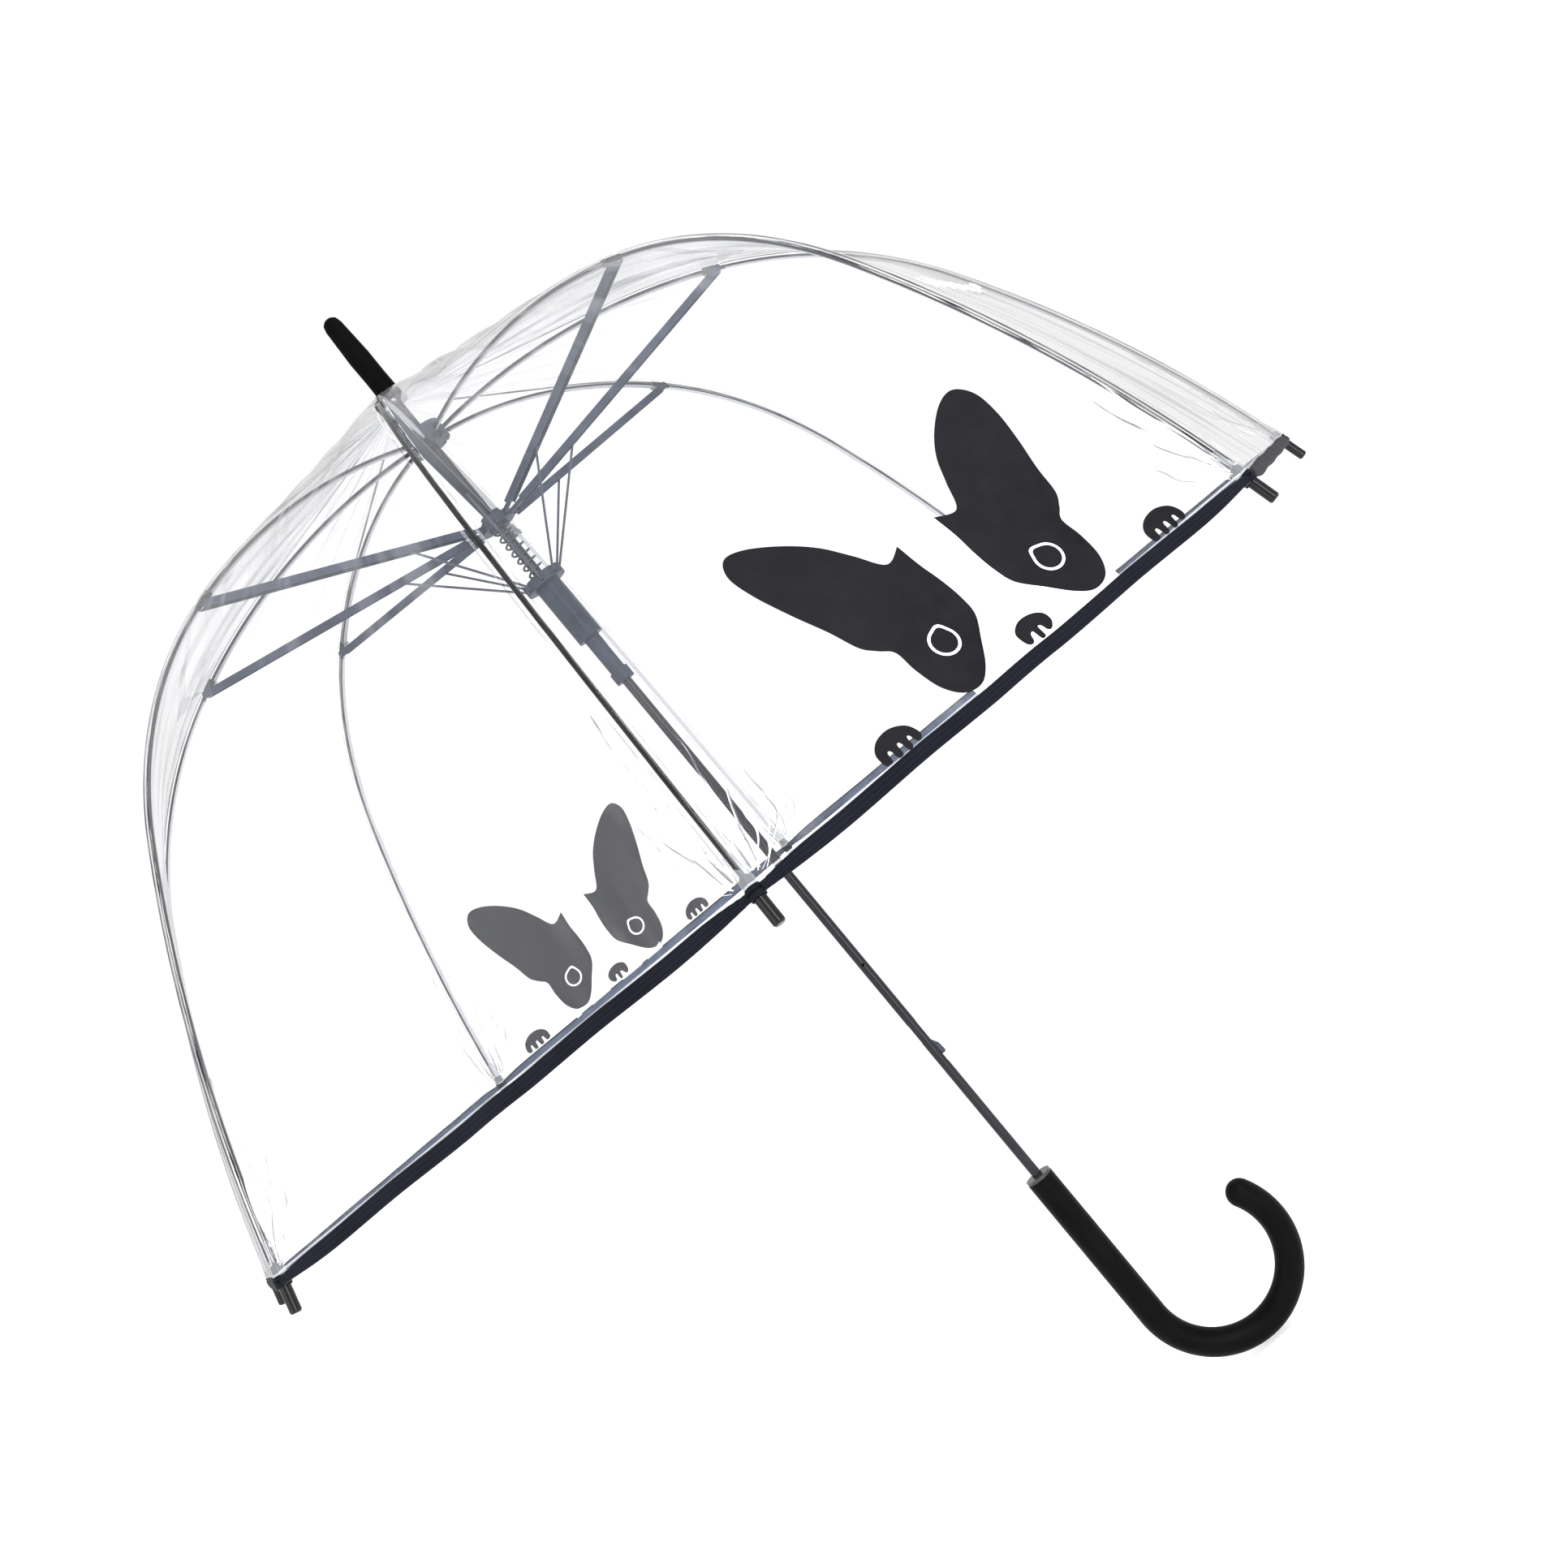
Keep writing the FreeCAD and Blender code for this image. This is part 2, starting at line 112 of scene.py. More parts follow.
# y runs up the film from the hem: along the rod to Y_JOINT, the arm to Y_TOUCH, then straight to the apex
LEN_B = (ROD_B + FILM) * (S2 - S1)
LEN_A = (ROD_A + FILM) * (S1 - S0)
Y_JOINT = LEN_B + LEN_A
apex = (APEX[0], APEX[1] + FILM - FILM_IN)
to_c = (ARM_C[0] - apex[0], ARM_C[1] - apex[1])
reach = math.hypot(*to_c)
TOUCH = math.atan2(-to_c[0], -to_c[1]) + math.acos((ARM_RAD + FILM) / reach)
Y_TOUCH = Y_JOINT + (ARM_RAD + FILM) * (A1 - TOUCH)
touch_pt = (ARM_C[0] + (ARM_RAD + FILM) * math.sin(TOUCH), ARM_C[1] + (ARM_RAD + FILM) * math.cos(TOUCH))
CONE = math.hypot(touch_pt[0] - apex[0], touch_pt[1] - apex[1])
Y_APEX = Y_TOUCH + CONE


def station(y, off):
    """(r, z, slope) in mm at y mm up the film from the hem, off mm outside the rib line."""
    if y < LEN_B:
        a = S2 - y / (ROD_B + FILM)
        return CB[0] + (ROD_B + off) * math.sin(a), CB[1] + (ROD_B + off) * math.cos(a), a
    if y < Y_JOINT:
        a = S1 - (y - LEN_B) / (ROD_A + FILM)
        return CA[0] + (ROD_A + off) * math.sin(a), CA[1] + (ROD_A + off) * math.cos(a), a
    if y < Y_TOUCH:
        a = A1 - (y - Y_JOINT) / (ARM_RAD + FILM)
        return ARM_C[0] + (ARM_RAD + off) * math.sin(a), ARM_C[1] + (ARM_RAD + off) * math.cos(a), a
    f = min(1.0, (y - Y_TOUCH) / CONE)
    r = touch_pt[0] + (apex[0] - touch_pt[0]) * f
    z = touch_pt[1] + (apex[1] - touch_pt[1]) * f
    return r + (off - FILM) * math.sin(TOUCH), z + (off - FILM) * math.cos(TOUCH), TOUCH


def y_at_radius(r):
    lo, hi = 0.0, Y_APEX
    for _ in range(40):
        m = (lo + hi) / 2
        if station(m, FILM)[0] > r:
            lo = m
        else:
            hi = m
    return lo


def rib_angle(i):
    return math.radians(FIRST_RIB + RIB_STEP * (i - 1))


def radial(a):
    return Vector((math.cos(a), math.sin(a), 0.0))


def tangent(a):
    return Vector((-math.sin(a), math.cos(a), 0.0))


# ---------------------------------------------------------------- the film's surface
SAG = 5.0                    # how far the panel's middle hangs in between two ribs
LONG_WAVE, FINE_WAVE, GATHER = 0.8, 0.35, 0.5   # heights of the film's creases
GATHER_REACH = 28.0          # how far up from the hem the gathers beside a rib go
FADE_LOW, FADE_HIGH = 20.0, 60.0   # the creases fade out over these lengths at hem and apex


def ripple(panel, u, y):
    """Small creases of the film in mm. u runs -1..1 from rib to rib, y up from the hem."""
    k = panel * 1.7
    edge = abs(u) ** 3
    near_hem = math.exp(-max(y, 0.0) / GATHER_REACH)
    long_ = math.sin(13 * u + 2 * k + y * 0.006) * math.sin(y * 0.013 + k)
    fine = math.sin(41 * u + k + y * 0.011) * math.sin(y * 0.021 + 2.1 * k)
    gather = math.sin(70 * u + k) * near_hem * edge
    fade = max(0.0, min(1.0, (y - HEM_TOP) / FADE_LOW)) * min(1.0, (Y_APEX - y) / FADE_HIGH)
    waves = LONG_WAVE * long_ + FINE_WAVE * fine * (0.3 + edge)
    return waves * fade * (1 - edge * edge) + GATHER * gather * (1 - abs(u))


def surf(panel, x, y, off):
    """Point of the film in metres: x mm from the panel's middle line, y mm up from the hem."""
    r, z, slope = station(y, off)
    half = r * SIN_H
    u = max(-1.0, min(1.0, x / half))
    a = rib_angle(panel) + HALF_STEP
    sag = -SAG * math.sin(math.pi * max(0.0, min(1.0, y / Y_TOUCH))) * (1 + math.cos(math.pi * u)) / 2
    d = sag + ripple(panel, u, y)
    p = radial(a) * (r * COS_H + d * math.sin(slope)) + tangent(a) * x
    p.z = z + d * math.cos(slope)
    return p * MM


# ---------------------------------------------------------------- material helpers
BLACK, WHITE = (0, 0, 0), (1, 1, 1)
WELD_HALF = 3.7              # half-width of the welded strip over a rib


def grey(value):
    return (value,) * 3


def material(name):
    m = bpy.data.materials.new(name)
    m.use_nodes = True
    m.use_backface_culling = False
    return m, m.node_tree, m.node_tree.nodes["Principled BSDF"]


def plug(tree, value, socket):
    """Feeds a socket from another node, or sets it to a fixed value."""
    if isinstance(value, bpy.types.NodeSocket):
        tree.links.new(value, socket)
    else:
        socket.default_value = value


def set_inputs(n, **values):
    """Sets a node's inputs; an underscore stands for a space."""
    for name, value in values.items():
        n.inputs[name.replace("_", " ")].default_value = value


def uv_axes(tree):
    coords = tree.nodes.new("ShaderNodeTexCoord")
    axes = tree.nodes.new("ShaderNodeSeparateXYZ")
    tree.links.new(coords.outputs["UV"], axes.inputs[0])
    return axes.outputs["X"], axes.outputs["Y"]


def noise(tree, scale, detail=4.0, rough=0.55, coord="Object", stretch=(1, 1, 1)):
    coords = tree.nodes.new("ShaderNodeTexCoord")
    mapping = tree.nodes.new("ShaderNodeMapping")
    set_inputs(mapping, Scale=stretch)
    n = tree.nodes.new("ShaderNodeTexNoise")
    set_inputs(n, Scale=scale, Detail=detail, Roughness=rough)
    tree.links.new(coords.outputs[coord], mapping.inputs["Vector"])
    tree.links.new(mapping.outputs["Vector"], n.inputs["Vector"])
    return n.outputs["Fac"]


def ramp(tree, fac, stops):
    r = tree.nodes.new("ShaderNodeValToRGB")
    tree.links.new(fac, r.inputs["Fac"])
    while len(r.color_ramp.elements) < len(stops):
        r.color_ramp.elements.new(0.5)
    for element, (position, colour) in zip(r.color_ramp.elements, stops):
        element.position = position
        element.color = (*colour, 1)
    return r.outputs["Color"]


def rise(tree, fac, low, high):
    """Nothing below low, all of it above high."""
    return ramp(tree, fac, [(low, BLACK), (high, WHITE)])


def math_op(tree, operation, *operands):
    n = tree.nodes.new("ShaderNodeMath")
    n.operation = operation
    for value, socket in zip(operands, n.inputs):
        plug(tree, value, socket)
    return n.outputs[0]


def scaled(tree, a, b):
    return math_op(tree, "MULTIPLY", a, b)


def total(tree, a, b):
    return math_op(tree, "ADD", a, b)


def vector_op(tree, operation, *operands):
    n = tree.nodes.new("ShaderNodeVectorMath")
    n.operation = operation
    for value, socket in zip(operands, n.inputs):
        plug(tree, value, socket)
    return n.outputs["Value" if operation == "DOT_PRODUCT" else "Vector"]


def mix_colours(tree, share, first, second, blend="MIX"):
    n = tree.nodes.new("ShaderNodeMixRGB")
    n.blend_type = blend
    for name, value in (("Fac", share), ("Color1", first), ("Color2", second)):
        plug(tree, value, n.inputs[name])
    return n.outputs["Color"]


def bump(tree, shader, height, strength, distance):
    b = tree.nodes.new("ShaderNodeBump")
    set_inputs(b, Strength=strength, Distance=distance)
    tree.links.new(height, b.inputs["Height"])
    tree.links.new(b.outputs["Normal"], shader.inputs["Normal"])


# ---------------------------------------------------------------- kinds of material
def solid(name, dark, light, rough, scale, stretch=(1, 1, 1), metal=0.0, spec=0.5, grain=0.15,
          grain_mm=0.05, rough_spread=0.08):
    """Opaque paint, plastic, metal or ink, uneven in colour, gloss and grain."""
    m, t, s = material(name)
    n = noise(t, scale, 6.0, 0.6, "Object", stretch)
    plug(t, ramp(t, n, [(0.3, dark), (0.7, light)]), s.inputs["Base Color"])
    gloss = [(0.25, grey(rough - rough_spread)), (0.75, grey(rough + rough_spread))]
    plug(t, ramp(t, n, gloss), s.inputs["Roughness"])
    set_inputs(s, Metallic=metal, Specular_IOR_Level=spec)
    bump(t, s, noise(t, scale * 6, 3.0, 0.5, "Object", stretch), grain, grain_mm * MM)
    return m


def rib_material(name, dark, light, inner, rough, scale):
    """Black paint outside; the side that looks to the shaft is pale, a painted highlight."""
    m, t, s = material(name)
    coords = t.nodes.new("ShaderNodeTexCoord")
    level = vector_op(t, "MULTIPLY", coords.outputs["Object"], (1, 1, 0))
    outward = vector_op(t, "ADD", vector_op(t, "NORMALIZE", level), (0, 0, 0.8))
    facing = vector_op(t, "DOT_PRODUCT", outward, coords.outputs["Normal"])
    side = total(t, scaled(t, facing, 0.4), 0.5)
    n = noise(t, scale, 6.0, 0.6)
    paint = ramp(t, n, [(0.3, dark), (0.7, light)])
    # painted highlight: the side facing the shaft takes the pale inner colour
    inner_share = ramp(t, side, [(0.22, WHITE), (0.42, BLACK)])
    plug(t, mix_colours(t, inner_share, paint, (*inner, 1)), s.inputs["Base Color"])
    plug(t, ramp(t, n, [(0.25, grey(rough - 0.06)), (0.75, grey(rough + 0.08))]), s.inputs["Roughness"])
    set_inputs(s, Specular_IOR_Level=0.25)
    bump(t, s, noise(t, scale * 6, 3.0, 0.5), 0.1, 0.03 * MM)
    return m


def film_material(name, haze, edge, streak, pale, dark):
    """Clear film: more visible at grazing angles, along its creases and towards the crown; its grey at
    grazing angles and along the crease streaks is a painted reflection.
    """
    m, t, s = material(name)
    up = uv_axes(t)[1]
    across = noise(t, 6.5, 3.5, 0.55, "UV", (7.0, 0.9, 1))
    patch = noise(t, 3.0, 2.0, 0.5, "UV", (1.2, 1.2, 1))
    layer = t.nodes.new("ShaderNodeLayerWeight")
    set_inputs(layer, Blend=0.5)
    graze = math_op(t, "POWER", layer.outputs["Facing"], 3.0)
    # painted reflection: pale where the film faces the view, dark grey at grazing angles and along the crease
    # streaks
    shade = total(t, scaled(t, graze, 0.9), scaled(t, across, 0.35))
    plug(t, ramp(t, shade, [(0.12, pale), (0.75, dark)]), s.inputs["Base Color"])
    lines = rise(t, across, 0.50, 0.66)
    patches = rise(t, patch, 0.42, 0.62)
    high = rise(t, up, 0.36, 0.56)
    weight = total(t, scaled(t, graze, 1.2), scaled(t, high, 0.32))
    weight = total(t, weight, scaled(t, patches, 0.12))
    alpha = total(t, scaled(t, graze, edge), haze)
    alpha = total(t, alpha, scaled(t, scaled(t, lines, streak), weight))
    # a more visible, pale line from 3.2 to 4.6 mm up, where the film leaves the hem: the film's fold there,
    # whitened by a painted highlight
    hem_fold_highlight = ramp(t, scaled(t, up, 100.0), [(0.32, BLACK), (0.35, WHITE), (0.42, WHITE), (0.46, BLACK)])
    alpha = total(t, alpha, scaled(t, hem_fold_highlight, 0.45))
    plug(t, math_op(t, "MINIMUM", alpha, 0.92), s.inputs["Alpha"])
    set_inputs(s, Roughness=0.12, Specular_IOR_Level=0.08)
    bump(t, s, across, 0.35, 0.6 * MM)
    return m


def weld_material(name):
    """Welded strip over a rib: a painted shadow line, dark over the rib, and painted highlight streaks with
    dark lines along both edges.
    """
    m, t, s = material(name)
    out = scaled(t, math_op(t, "ABSOLUTE", uv_axes(t)[0]), 1 / (WELD_HALF * MM))
    # alpha across the strip: high over the rib for the painted shadow line, low beside it, then painted
    # highlight lines near both edges
    lines = ramp(t, out, [(0.0, grey(0.95)), (0.27, grey(0.90)), (0.35, grey(0.02)), (0.48, grey(0.02)),
                          (0.62, grey(0.30)), (0.74, grey(0.04)), (0.90, grey(0.62)), (1.0, grey(0.30))])
    run = noise(t, 34.0, 3.0, 0.6, "UV", (14.0, 1.0, 1))
    # painted highlight: white and dark grey streaks along the strip
    painted_highlight_streaks = ramp(t, run, [(0.42, (0.06, 0.07, 0.09)), (0.50, (0.70, 0.72, 0.76)), (0.58, WHITE)])
    # painted shadow line: near black over the rib's middle, white elsewhere
    painted_shadow_line = ramp(t, out, [(0.28, (0.008, 0.008, 0.010)), (0.36, WHITE)])
    plug(t, mix_colours(t, 1.0, painted_highlight_streaks, painted_shadow_line, "MULTIPLY"), s.inputs["Base Color"])
    plug(t, scaled(t, lines, total(t, scaled(t, run, 1.4), 0.2)), s.inputs["Alpha"])
    set_inputs(s, Roughness=0.15)
    bump(t, s, run, 0.3, 0.3 * MM)
    return m


def crease_material(name, alpha, dark, light):
    """Sharp crease of the film that catches light on one side and goes dark on the other."""
    m, t, s = material(name)
    run = noise(t, 26.0, 3.0, 0.6, "UV", (9.0, 0.8, 1))
    plug(t, ramp(t, run, [(0.44, dark), (0.54, light)]), s.inputs["Base Color"])
    plug(t, scaled(t, run, alpha * 2), s.inputs["Alpha"])
    set_inputs(s, Roughness=0.2, Specular_IOR_Level=0.3)
    return m


def fabric_material(name, dark, light, inner_face_tone):
    """Plain weave; the hem's inner face takes a paler blue-grey tone, uneven in streaks."""
    m, t, s = material(name)
    coords = t.nodes.new("ShaderNodeTexCoord")
    threads = []
    for direction in ("X", "Y"):
        wave = t.nodes.new("ShaderNodeTexWave")
        wave.bands_direction = direction
        set_inputs(wave, Scale=260.0, Distortion=1.5, Detail=2.0)
        t.links.new(coords.outputs["UV"], wave.inputs["Vector"])
        threads.append(wave.outputs["Fac"])
    soft = noise(t, 22.0, 4.0, 0.6, "UV")
    mixed = total(t, scaled(t, scaled(t, *threads), 0.4), scaled(t, soft, 0.7))
    # the section's points from 10.5 to 17 mm round are its inner face
    inner_share = ramp(t, scaled(t, uv_axes(t)[1], 40.0),
                       [(0.42, BLACK), (0.46, WHITE), (0.64, WHITE), (0.68, BLACK)])
    outer = ramp(t, mixed, [(0.25, dark), (0.75, light)])
    inner_streaks = noise(t, 9.0, 5.0, 0.65, "UV", (1, 8, 1))
    inner = ramp(t, inner_streaks, [(0.38, tuple(0.55 * c for c in inner_face_tone)), (0.62, tuple(1.7 * c for c in inner_face_tone))])
    plug(t, mix_colours(t, inner_share, outer, inner), s.inputs["Base Color"])
    set_inputs(s, Roughness=0.78, Specular_IOR_Level=0.06, Sheen_Weight=0.05)
    bump(t, s, mixed, 0.5, 0.15 * MM)
    return m


# ---------------------------------------------------------------- the materials
MAT_FILM = film_material("film_clear", 0.032, 0.56, 0.62, (0.90, 0.91, 0.95), (0.20, 0.20, 0.21))
MAT_CROWN = film_material("film_crown_fold", 0.09, 0.55, 0.60, (0.84, 0.85, 0.87), (0.34, 0.35, 0.38))
MAT_SEAM = weld_material("film_weld")
MAT_SLEEVE = film_material("film_gathered", 0.26, 0.5, 0.7, (0.62, 0.64, 0.68), (0.20, 0.21, 0.24))
MAT_CREASE = crease_material("film_crease", 0.85, (0.05, 0.055, 0.07), (0.98, 0.98, 1.0))
MAT_FOLD = crease_material("film_soft_fold", 0.22, (0.45, 0.45, 0.47), (0.90, 0.90, 0.91))
MAT_STRAP = crease_material("strap_film", 0.62, (0.50, 0.50, 0.51), (1.0, 1.0, 0.99))
MAT_COLLAR = solid("collar_dark", (0.010, 0.010, 0.012), (0.030, 0.030, 0.034), 0.3, 60.0, spec=0.5,
                   grain=0.1)
MAT_SNAP = solid("snap_clear_plastic", (0.55, 0.56, 0.57), (0.75, 0.76, 0.77), 0.25, 90.0, spec=0.4,
                 grain=0.1)
MAT_HEM = fabric_material("hem_cloth", (0.003, 0.0035, 0.007), (0.010, 0.011, 0.019), (0.055, 0.070, 0.105))
MAT_PRINT = solid("print_black_ink", (0.004, 0.004, 0.006), (0.009, 0.009, 0.012), 0.5, 60.0, spec=0.08,
                  grain=0.2, grain_mm=0.03)
MAT_WHITE = solid("print_white_ink", (0.90, 0.90, 0.91), (0.97, 0.97, 0.98), 0.5, 30.0, spec=0.3, grain=0.1)
MAT_GLOSS = solid("moulded_gloss_black", (0.003, 0.003, 0.004), (0.006, 0.006, 0.008), 0.16, 90.0, spec=0.26,
                  grain=0.06, grain_mm=0.02, rough_spread=0.05)
MAT_FERRULE = solid("ferrule_matt_black", (0.0012, 0.0012, 0.0015), (0.0026, 0.0026, 0.003), 0.62, 60.0,
                    spec=0.03, grain=0.2, grain_mm=0.04)
MAT_HANDLE = solid("handle_soft_black", (0.0014, 0.0014, 0.0018), (0.0034, 0.0034, 0.004), 0.45, 45.0,
                   spec=0.05, grain=0.25, grain_mm=0.05)
# the third colour of MAT_RIB and MAT_ROD is the painted highlight on the side facing the shaft
MAT_RIB = rib_material("rib_black_paint", (0.004, 0.004, 0.005), (0.012, 0.012, 0.014), (0.36, 0.37, 0.40),
                       0.28, 120.0)
MAT_ROD = rib_material("glassfibre_black", (0.004, 0.004, 0.005), (0.012, 0.012, 0.014), (0.40, 0.41, 0.44),
                       0.25, 80.0)
MAT_STRUT = solid("channel_steel_painted", (0.007, 0.012, 0.028), (0.030, 0.044, 0.078), 0.42, 70.0,
                  metal=0.1, spec=0.2, grain=0.1)
MAT_WIRE = solid("wire_steel_satin", (0.018, 0.023, 0.036), (0.050, 0.060, 0.085), 0.35, 150.0, metal=0.2,
                 spec=0.3, grain=0.1)
MAT_SHAFT = solid("shaft_black_enamel", (0.005, 0.005, 0.008), (0.013, 0.013, 0.019), 0.20, 60.0, (6, 6, 0.5),
                  spec=0.28, grain=0.08, rough_spread=0.05)
MAT_PLASTIC = solid("frame_plastic_dark", (0.008, 0.013, 0.025), (0.024, 0.034, 0.054), 0.45, 80.0, spec=0.15)
MAT_PALE = solid("collar_pale_grey", (0.42, 0.43, 0.45), (0.55, 0.56, 0.58), 0.45, 60.0, spec=0.4)

# ---------------------------------------------------------------- CAD pieces that keep their own meshes
CAD_LOOK = {
    "shaft": MAT_SHAFT, "crown_notch": MAT_PLASTIC, "slide_hub": MAT_PLASTIC, "runner": MAT_PLASTIC,
    "crown_wire": MAT_WIRE, "hub_wire": MAT_WIRE, "runner_wire": MAT_WIRE, "thumb_catch": MAT_WIRE,
    "ferrule": MAT_FERRULE, "top_washer": MAT_PALE, "handle": MAT_HANDLE, "handle_collar": MAT_COLLAR,
}
for i in range(1, RIBS + 1):
    CAD_LOOK["rib_arm_%d" % i] = MAT_RIB
    CAD_LOOK["rib_rod_%d" % i] = MAT_ROD
    CAD_LOOK["rib_tip_%d" % i] = MAT_GLOSS
    CAD_LOOK["stretcher_%d" % i] = MAT_STRUT
    CAD_LOOK["link_wire_%d" % i] = MAT_WIRE
for name, look in CAD_LOOK.items():
    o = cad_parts[name]
    if not o.material_slots:
        o.data.materials.append(look)
    for slot in o.material_slots:
        slot.material = look


# ---------------------------------------------------------------- mesh helpers
def mesh_object(name, verts, faces, uvs, look):
    me = bpy.data.meshes.new(name)
    me.from_pydata([tuple(v) for v in verts], [], faces)
    layer = me.uv_layers.new(name="UVMap")
    for poly in me.polygons:
        poly.use_smooth = True
        for corner in poly.loop_indices:
            layer.data[corner].uv = uvs[me.loops[corner].vertex_index]
    me.materials.append(look)
    me.validate()
    me.update()
    o = bpy.data.objects.new(name, me)
    bpy.context.scene.collection.objects.link(o)
    return o


def grid(name, rows, look, uv_rows, closed=False):
    """rows: lists of points, all as long as each other."""
    n = len(rows[0])
    verts = [p for row in rows for p in row]
    uvs = [p for row in uv_rows for p in row]
    faces = []
    for j in range(len(rows) - 1):
        for k in range(n if closed else n - 1):
            a, b = j * n + k, j * n + (k + 1) % n
            faces.append((a, b, b + n, a + n))
    return mesh_object(name, verts, faces, uvs, look)


def smooth(x):
    x = max(0.0, min(1.0, x))
    return x * x * (3 - 2 * x)


def pleat(o):
    """Gives the piece a mesh of its own."""
    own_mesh(o)


def column(i, side, l, y, off):
    """Film point l mm from rib i along the panel on the given side."""
    half = station(y, off)[0] * SIN_H
    if side > 0:
        return surf(i, -half + l, y, off)
    return surf((i - 2) % RIBS + 1, half - l, y, off)


# ---------------------------------------------------------------- film
CAP_R = 45.0                 # the crown piece begins at this radius
Y_CAP = y_at_radius(CAP_R)
L0 = SIDE / COS_H
SKIRT_UP, SKIRT_LOW = 51.0, 33.0   # the two sheets overlap below the joint in the panel's middle
N_ACROSS, N_LOWER, N_UPPER = 16, 56, 44
CAP_ACROSS, CAP_UP = 8, 12
PATTERN_STEP = 0.37          # the film's pattern differs from rib to rib
WELD_ACROSS = (-WELD_HALF, -2.4, -1.2, 0.0, 1.2, 2.4, WELD_HALF)
WELD_START = 9.6             # the welded strip starts inside the sleeve
WELD_END_LOW, WELD_END_UP = Y_JOINT - 2.5, Y_JOINT + 1.5   # clear of the joint as it folds
WELD_TOP = Y_CAP + 4


def half_panel(name, i, side, y_low, y_high, n_up, lift):
    """Half a panel beside rib i. y_low and y_high take the share of the way to the panel's middle."""
    rows, uv_rows = [], []
    for j in range(n_up + 1):
        row, uv_row = [], []
        for k in range(N_ACROSS + 1):
            w = k / N_ACROSS
            lo, hi = y_low(w), y_high(w)
            y = lo + (hi - lo) * j / n_up
            off = FILM + lift(y)
            half = station(y, off)[0] * SIN_H
            l = L0 + (half - L0) * w
            row.append(column(i, side, l, y, off))
            x = (half - l) * side
            uv_row.append((i * PATTERN_STEP + x * MM, y * MM))
        if side < 0:
            row.reverse()
            uv_row.reverse()
        rows.append(row)
        uv_rows.append(uv_row)
    return grid(name, rows, MAT_FILM, uv_rows)


def crown_piece(i):
    """The point of the film round the shaft, over rib i."""
    rows, uv_rows = [], []
    for j in range(CAP_UP + 1):
        y = Y_CAP + (Y_APEX - Y_CAP) * j / CAP_UP
        half = station(y, FILM)[0] * SIN_H
        row, uv_row = [], []
        for k in range(-CAP_ACROSS, CAP_ACROSS + 1):
            side = 1 if k >= 0 else -1
            w = abs(k) / CAP_ACROSS
            row.append(column(i, side, half * w, y, FILM + 0.05))
            uv_row.append((i * PATTERN_STEP + half * w * MM * side, y * MM))
        rows.append(row)
        uv_rows.append(uv_row)
    return grid("film_crown_%d" % i, rows, MAT_CROWN, uv_rows)


def seam_strip(name, i, y0, y1, n, off):
    """The welded strip over rib i, its edges a little uneven."""
    rows, uv_rows = [], []
    for j in range(n + 1):
        y = y0 + (y1 - y0) * j / n
        row, uv_row = [], []
        for t in WELD_ACROSS:
            side = 1 if t >= 0 else -1
            wobble = 0.25 * math.sin(y * 0.21 + i + t) * abs(t) / WELD_HALF
            row.append(column(i, side, abs(t) / COS_H, y, off + 0.1 + wobble * 0.4))
            uv_row.append((t * MM, y * MM + i * 0.83))
        rows.append(row)
        uv_rows.append(uv_row)
    return grid(name, rows, MAT_SEAM, uv_rows)


lower_half, upper_half, cap_of = {}, {}, {}
for i in range(1, RIBS + 1):
    arm, rod = "rib_arm_%d" % i, "rib_rod_%d" % i
    for side, tag in ((1, "a"), (-1, "b")):
        low = half_panel("film_lower_%d%s" % (i, tag), i, side,
                         lambda w: HEM_LOW + 0.6, lambda w: Y_JOINT - SKIRT_LOW * w, N_LOWER, lambda y: 0.0)
        up = half_panel("film_upper_%d%s" % (i, tag), i, side,
                        lambda w: Y_JOINT - SKIRT_UP * w, lambda w: Y_CAP, N_UPPER,
                        lambda y: 0.25 * smooth((Y_JOINT - y) / 6.0))
        lower_half[(i, side)], upper_half[(i, side)] = low, up
        for o, body in ((low, rod), (up, arm)):
            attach(o, body)
            pleat(o)

    cap = crown_piece(i)
    cap_of[i] = cap
    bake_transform(cap)

    s_low = seam_strip("seam_lower_%d" % i, i, WELD_START, WELD_END_LOW, 60, FILM)
    s_up = seam_strip("seam_upper_%d" % i, i, WELD_END_UP, WELD_TOP, 44, FILM + 0.1)
    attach(s_low, rod)
    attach(s_up, arm)
    lower_half[(i, 0)], upper_half[(i, 0)] = s_low, s_up


# ---------------------------------------------------------------- creases of the film
# each is (l0, y0, l1, y1, width): from l0 to l1 off the rib, from y0 to y1 up the film
CREASE_OFF = FILM + 0.3
CREASE_STEPS = 18
LOW_CREASES, UP_CREASES = 7, 4
LOW_WANDER, UP_WANDER = 1.1, 0.35


def crease_lines(name, i, side, lines, look, wander):
    """Thin ribbons, widest near their middle, that bow away from the rib and waver."""
    verts, faces, uvs = [], [], []
    for number, (l0, y0, l1, y1, width) in enumerate(lines):
        for j in range(CREASE_STEPS + 1):
            f = j / CREASE_STEPS
            bow = 0.25 * (l1 - l0) * math.sin(math.pi * f) + wander * math.sin(9 * f + 2.3 * number + i)
            l = max(L0, l0 + (l1 - l0) * f + bow)
            y = y0 + (y1 - y0) * f
            w = width * (0.25 + 0.75 * math.sin(math.pi * min(1.0, 0.12 + 0.88 * f)))
            limit = station(y, CREASE_OFF)[0] * SIN_H - 0.5
            for e in (0.0, w):
                verts.append(column(i, side, min(l + e, limit), y, CREASE_OFF))
                uvs.append((number * 0.07 + e * MM, y * MM))
        base = number * 2 * (CREASE_STEPS + 1)
        for j in range(CREASE_STEPS):
            a = base + 2 * j
            faces.append((a, a + 1, a + 3, a + 2) if side > 0 else (a, a + 2, a + 3, a + 1))
    return mesh_object(name, verts, faces, uvs, look)


